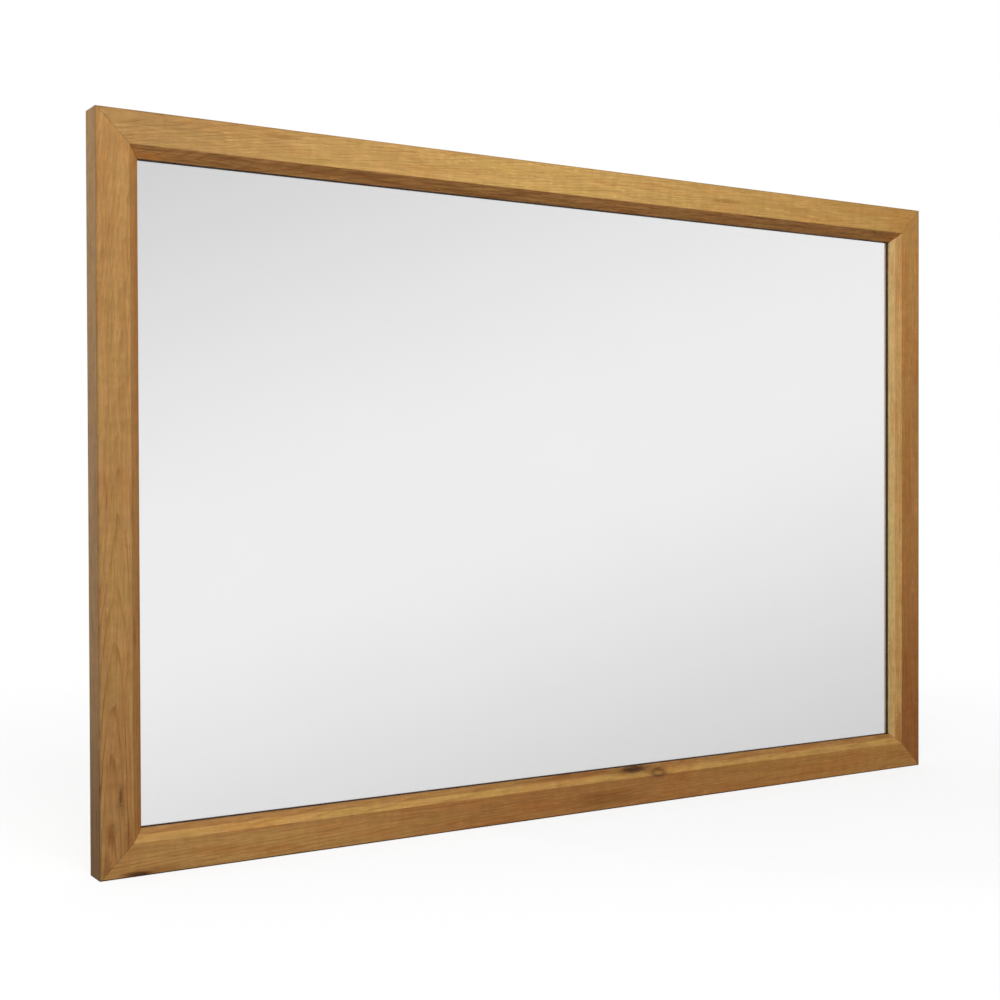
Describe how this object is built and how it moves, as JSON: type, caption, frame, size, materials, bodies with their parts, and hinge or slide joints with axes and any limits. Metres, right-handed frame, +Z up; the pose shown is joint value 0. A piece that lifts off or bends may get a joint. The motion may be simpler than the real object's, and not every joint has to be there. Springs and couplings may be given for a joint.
{
  "type": "framed wall mirror",
  "caption": "Rectangular wall mirror in a flat, mitred solid oak frame with a bevelled inner edge, with a backing board, turn buttons and strap hangers behind.",
  "frame": {"origin": "centre of the overall box, oak frame and wall bumpers together", "axes": "+X to the viewer's right along the long side, +Z up along the short side, -Y towards the viewer, +Y towards the wall"},
  "size_m": [1.2, 0.041, 0.8],
  "materials": {
    "oak": "satin oil, straight and cathedral oak grain",
    "beech": "raw compressed beech",
    "glass": "clear float glass, ground edges",
    "silvering": "silver seen through the glass, grey safety film behind",
    "foam": "matt closed-cell foam",
    "cork": "matt rubberised cork",
    "mdf": "raw fine-grained MDF",
    "rubber": "matt moulded rubber",
    "button_steel": "zinc plated, stamped",
    "strap_steel": "zinc plated, stamped and folded",
    "ring_steel": "zinc plated wire",
    "screw_steel": "zinc plated"
  },
  "bodies": {
    "frame": {"backing_board": "mdf", "bottom_cushion_strip": "foam", "bottom_hanger_strap": "strap_steel", "bottom_left_biscuit": "beech", "bottom_left_bumper": "rubber", "bottom_rail": "oak", "bottom_right_biscuit": "beech", "bottom_right_bumper": "rubber", "hanger_screws": "screw_steel", "left_cushion_strip": "foam", "left_hanger_strap": "strap_steel", "left_setting_block": "cork", "left_stile": "oak", "mirror_glass": "glass", "mirror_silvering": "silvering", "right_cushion_strip": "foam", "right_hanger_strap": "strap_steel", "right_setting_block": "cork", "right_stile": "oak", "top_cushion_strip": "foam", "top_hanger_strap": "strap_steel", "top_left_biscuit": "beech", "top_left_bumper": "rubber", "top_rail": "oak", "top_right_biscuit": "beech", "top_right_bumper": "rubber", "turn_button_screws": "screw_steel"},
    "bottom_hanger_ring": {"bottom_hanger_ring": "ring_steel"},
    "left_hanger_ring": {"left_hanger_ring": "ring_steel"},
    "right_hanger_ring": {"right_hanger_ring": "ring_steel"},
    "top_hanger_ring": {"top_hanger_ring": "ring_steel"},
    "bottom_turn_button_1": {"bottom_turn_button_1": "button_steel"},
    "bottom_turn_button_2": {"bottom_turn_button_2": "button_steel"},
    "bottom_turn_button_3": {"bottom_turn_button_3": "button_steel"},
    "left_turn_button_1": {"left_turn_button_1": "button_steel"},
    "left_turn_button_2": {"left_turn_button_2": "button_steel"},
    "right_turn_button_1": {"right_turn_button_1": "button_steel"},
    "right_turn_button_2": {"right_turn_button_2": "button_steel"},
    "top_turn_button_1": {"top_turn_button_1": "button_steel"},
    "top_turn_button_2": {"top_turn_button_2": "button_steel"},
    "top_turn_button_3": {"top_turn_button_3": "button_steel"}
  },
  "joints": [
    {"name": "left_hanger_ring_swing", "type": "hinge", "parent": "frame", "child": "left_hanger_ring", "pos_m": [-0.5815, 0.01628, 0.25], "axis": [1, 0, 0], "range_deg": [0, 175]},
    {"name": "right_hanger_ring_swing", "type": "hinge", "parent": "frame", "child": "right_hanger_ring", "pos_m": [0.5815, 0.01628, 0.25], "axis": [1, 0, 0], "range_deg": [0, 175]},
    {"name": "top_hanger_ring_swing", "type": "hinge", "parent": "frame", "child": "top_hanger_ring", "pos_m": [-0.33, 0.01628, 0.3815], "axis": [0, 0, 1], "range_deg": [0, 175]},
    {"name": "bottom_hanger_ring_swing", "type": "hinge", "parent": "frame", "child": "bottom_hanger_ring", "pos_m": [-0.33, 0.01628, -0.3815], "axis": [0, 0, 1], "range_deg": [0, 175]},
    {"name": "bottom_turn_button_1_turn", "type": "hinge", "parent": "frame", "child": "bottom_turn_button_1", "pos_m": [-0.4, 0.01433, -0.374], "axis": [0, 1, 0], "continuous": true},
    {"name": "bottom_turn_button_2_turn", "type": "hinge", "parent": "frame", "child": "bottom_turn_button_2", "pos_m": [0, 0.01433, -0.374], "axis": [0, 1, 0], "continuous": true},
    {"name": "bottom_turn_button_3_turn", "type": "hinge", "parent": "frame", "child": "bottom_turn_button_3", "pos_m": [0.4, 0.01433, -0.374], "axis": [0, 1, 0], "continuous": true},
    {"name": "left_turn_button_1_turn", "type": "hinge", "parent": "frame", "child": "left_turn_button_1", "pos_m": [-0.574, 0.01433, -0.15], "axis": [0, 1, 0], "continuous": true},
    {"name": "left_turn_button_2_turn", "type": "hinge", "parent": "frame", "child": "left_turn_button_2", "pos_m": [-0.574, 0.01433, 0.15], "axis": [0, 1, 0], "continuous": true},
    {"name": "right_turn_button_1_turn", "type": "hinge", "parent": "frame", "child": "right_turn_button_1", "pos_m": [0.574, 0.01433, -0.15], "axis": [0, 1, 0], "continuous": true},
    {"name": "right_turn_button_2_turn", "type": "hinge", "parent": "frame", "child": "right_turn_button_2", "pos_m": [0.574, 0.01433, 0.15], "axis": [0, 1, 0], "continuous": true},
    {"name": "top_turn_button_1_turn", "type": "hinge", "parent": "frame", "child": "top_turn_button_1", "pos_m": [-0.4, 0.01433, 0.374], "axis": [0, 1, 0], "continuous": true},
    {"name": "top_turn_button_2_turn", "type": "hinge", "parent": "frame", "child": "top_turn_button_2", "pos_m": [0, 0.01433, 0.374], "axis": [0, 1, 0], "continuous": true},
    {"name": "top_turn_button_3_turn", "type": "hinge", "parent": "frame", "child": "top_turn_button_3", "pos_m": [0.4, 0.01433, 0.374], "axis": [0, 1, 0], "continuous": true}
  ]
}
